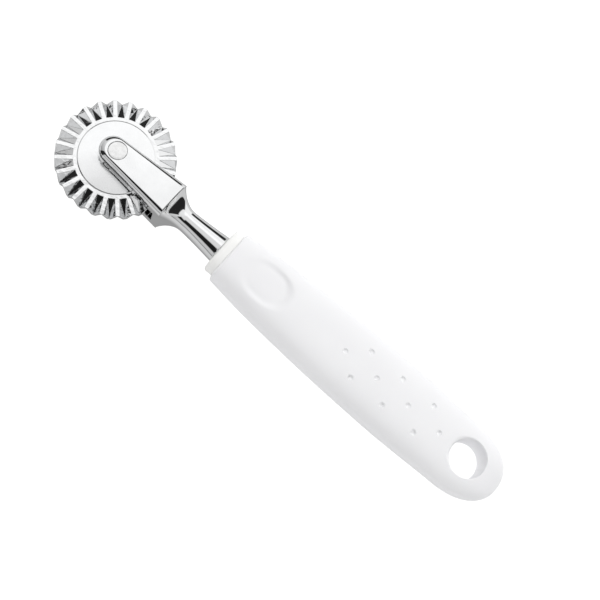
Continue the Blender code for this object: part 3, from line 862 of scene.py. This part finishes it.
def dimple_cutters():
    """Small round-bottomed pits in a diamond pattern, with a rolled rim."""
    bm = bmesh.new()
    for row in range(DIMPLE_ROWS):
        along = DIMPLE_START + row * DIMPLE_PITCH
        sides = (0.0,) if row % 2 == 0 else (-DIMPLE_SIDE, DIMPLE_SIDE)
        for side in sides:
            half_width = eased(GRIP_STATIONS, along, 1)
            half_thickness = eased(GRIP_STATIONS, along, 2)
            drop = (1 - (abs(side) / half_width) ** GRIP_SQUARENESS) ** (1 / GRIP_SQUARENESS)
            profile = [(part * DIMPLE_RADIUS, height) for part, height in DIMPLE_PROFILE]
            pit = turned(profile, DIMPLE_SIDES)
            mesh = bpy.data.meshes.new("pit")
            pit.to_mesh(mesh)
            pit.free()
            mesh.transform(Matrix.Translation((along, side, half_thickness * drop)))
            bm.from_mesh(mesh)
            bpy.data.meshes.remove(mesh)
    return bm


def grip_pocket():
    section = (COLLAR_HALF_WIDTH + SEAT_GAP, COLLAR_HALF_THICKNESS + SEAT_GAP, COLLAR_SQUARENESS)
    return lofted([(along, *section) for along in (POCKET_START, POCKET_END)], HANDLE_SIDES)


def grip(mat):
    bm = lofted(grip_stations(), HANDLE_SIDES)
    press_thumb_rest(bm)
    piece = add_piece("grip_moulded", bm, mat)
    cut(piece, add_piece("grip_pocket", grip_pocket(), mat))
    cut(piece, add_piece("grip_hole", hang_hole_cutter(), mat))
    cut(piece, add_piece("grip_pits", dimple_cutters(), mat))
    shade_smooth(piece, 50.0)
    weighted = piece.modifiers.new("Even shading", "WEIGHTED_NORMAL")
    weighted.keep_sharp = True
    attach(piece, "handle")
    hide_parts("handle_grip")


def collar(mat):
    edge_steps = 8
    rings = []
    for step in range(edge_steps + 1):
        angle = math.pi / 2 * step / edge_steps
        inset = COLLAR_EDGE_RADIUS * (1 - math.sin(angle))
        rings.append((STEM_END + COLLAR_EDGE_RADIUS * (1 - math.cos(angle)), inset))
    rings += [(along, 0.0) for along in COLLAR_RINGS]
    stations = []
    for along, inset in rings:
        half_width = COLLAR_HALF_WIDTH - inset
        half_thickness = COLLAR_HALF_THICKNESS - inset
        stations.append((along, half_width, half_thickness, COLLAR_SQUARENESS))
    piece = add_piece("collar_moulded", lofted(stations, HANDLE_SIDES), mat)
    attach(piece, "handle")
    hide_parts("handle_insert")


# ----------------------------------------------------------------------- stage

def pale_floor():
    """A white light table: it glows evenly, so the object throws hardly any shadow on it."""
    bm = bmesh.new()
    bmesh.ops.create_grid(bm, x_segments=1, y_segments=1, size=FLOOR_HALF_SIZE)
    mesh = bpy.data.meshes.new("floor")
    bm.to_mesh(mesh)
    bm.free()
    floor = bpy.data.objects.new("floor", mesh)
    floor.location.z = -FLOOR_GAP
    bpy.context.scene.collection.objects.link(floor)
    mat, tree, shader, coords = new_material("floor_glow")
    tint = two_colours(tree, noise(tree, coords, 30.0), (0.20, 0.20, 0.20), (0.17, 0.17, 0.17))
    tree.links.new(tint, shader.inputs["Base Color"])
    shader.inputs["Roughness"].default_value = 0.9
    shader.inputs["Specular IOR Level"].default_value = 0.0
    shader.inputs["Emission Color"].default_value = (1.0, 1.0, 1.0, 1.0)
    shader.inputs["Emission Strength"].default_value = FLOOR_GLOW
    floor.data.materials.append(mat)
    floor.visible_glossy = False


def window(tree, value, low, high, soft):
    """1 between low and high, fading to 0 over soft outside them."""
    rise = ranged(tree, value, 0.0, 1.0, low - soft, low)
    fall = ranged(tree, value, 1.0, 0.0, high, high + soft)
    return maths(tree, "MULTIPLY", rise, fall)


def direction(azimuth, elevation):
    across = math.cos(math.radians(elevation))
    return (across * math.cos(math.radians(azimuth)), across * math.sin(math.radians(azimuth)),
            math.sin(math.radians(elevation)))


def studio_world():
    """Soft white light all round, with black cards that give the polished metal its dark edges.

    Each card is (azimuth of its middle, half width, lowest and highest elevation, softness, brightness),
    in degrees, with azimuth measured from +X towards +Y.
    """
    world = bpy.data.worlds.new("studio")
    bpy.context.scene.world = world
    world.use_nodes = True
    tree = world.node_tree
    background = tree.nodes["Background"]
    coords = tree.nodes.new("ShaderNodeTexCoord")
    split = tree.nodes.new("ShaderNodeSeparateXYZ")
    tree.links.new(coords.outputs["Generated"], split.inputs["Vector"])
    elevation = maths(tree, "MULTIPLY", maths(tree, "ARCSINE", split.outputs["Z"]), math.degrees(1.0))
    toward_key = tree.nodes.new("ShaderNodeVectorMath")
    toward_key.operation = "DOT_PRODUCT"
    tree.links.new(coords.outputs["Generated"], toward_key.inputs[0])
    toward_key.inputs[1].default_value = direction(KEY_AZIMUTH, KEY_ELEVATION)
    light = ranged(tree, toward_key.outputs["Value"], WORLD_FAR, WORLD_KEY, -1.0, 1.0)
    for azimuth, half_width, lowest, highest, soft, brightness in WORLD_CARDS:
        turned_about = tree.nodes.new("ShaderNodeVectorRotate")
        turned_about.rotation_type = "Z_AXIS"
        turned_about.inputs["Angle"].default_value = -math.radians(azimuth)
        tree.links.new(coords.outputs["Generated"], turned_about.inputs["Vector"])
        parts = tree.nodes.new("ShaderNodeSeparateXYZ")
        tree.links.new(turned_about.outputs["Vector"], parts.inputs["Vector"])
        bearing = maths(tree, "ARCTAN2", parts.outputs["Y"], parts.outputs["X"])
        bearing = maths(tree, "MULTIPLY", bearing, math.degrees(1.0))
        across = window(tree, bearing, -half_width, half_width, soft)
        upward = window(tree, elevation, lowest, highest, soft)
        card = maths(tree, "MULTIPLY", across, upward)
        mixed = tree.nodes.new("ShaderNodeMix")
        tree.links.new(card, mixed.inputs["Factor"])
        tree.links.new(light, mixed.inputs["A"])
        mixed.inputs["B"].default_value = brightness
        light = mixed.outputs["Result"]
    path = tree.nodes.new("ShaderNodeLightPath")
    dimmed = ranged(tree, path.outputs["Is Glossy Ray"], 1.0, MIRROR_SHARE)
    seen = tree.nodes.new("ShaderNodeMix")
    tree.links.new(path.outputs["Is Camera Ray"], seen.inputs["Factor"])
    tree.links.new(maths(tree, "MULTIPLY", light, dimmed), seen.inputs["A"])
    seen.inputs["B"].default_value = 1.0
    tree.links.new(seen.outputs["Result"], background.inputs["Strength"])
    background.inputs["Color"].default_value = (1.0, 1.0, 1.0, 1.0)


def camera():
    data = bpy.data.cameras.new("camera")
    data.lens = CAMERA_LENS_MM
    data.sensor_width = SENSOR_MM
    data.clip_start = 0.01
    data.clip_end = 20.0
    obj = bpy.data.objects.new("camera", data)
    bpy.context.scene.collection.objects.link(obj)
    look = (AIM_FROM_AXLE - CAMERA_FROM_AXLE).normalized()
    roll_up = Vector((-math.sin(CAMERA_ROLL), math.cos(CAMERA_ROLL), 0.0))
    right = look.cross(roll_up).normalized()
    up = right.cross(look)
    turn = Matrix((right, up, -look)).transposed().to_4x4()
    obj.matrix_world = Matrix.Translation(AXLE + CAMERA_FROM_AXLE) @ turn
    bpy.context.scene.camera = obj


def main():
    wheel_chrome = plated_wheel("wheel_plating", PLATING_TINT)
    fork_chrome = plated_casting("fork_plating", PLATING_TINT, 0.05)
    rivet_steel = turned_steel("rivet_faced", RIVET_TINT, 0.20, Vector((0.0, 0.0, 0.0)))
    bush_steel = turned_steel("bush_turned", BUSH_TINT, 0.28, AXLE)
    washer_steel = turned_steel("washer_stamped", WASHER_TINT, 0.26, AXLE)
    collar_white = moulded_plastic("collar_white", COLLAR_TINT, COLLAR_SHADE, 0.22, 0.05)
    grip_white = moulded_plastic("grip_white", GRIP_TINT, GRIP_SHADE, 0.36, 0.16)

    fluted_wheel(wheel_chrome)
    fork_casting(fork_chrome)
    rivet(rivet_steel)
    collar(collar_white)
    grip(grip_white)
    frame["nodes"]["wheel_bush"].material_slots[0].material = bush_steel
    for name in ("thrust_washer_front", "thrust_washer_rear"):
        frame["nodes"][name].material_slots[0].material = washer_steel

    pale_floor()
    studio_world()
    camera()
    bpy.context.scene.view_settings.view_transform = "Standard"


main()
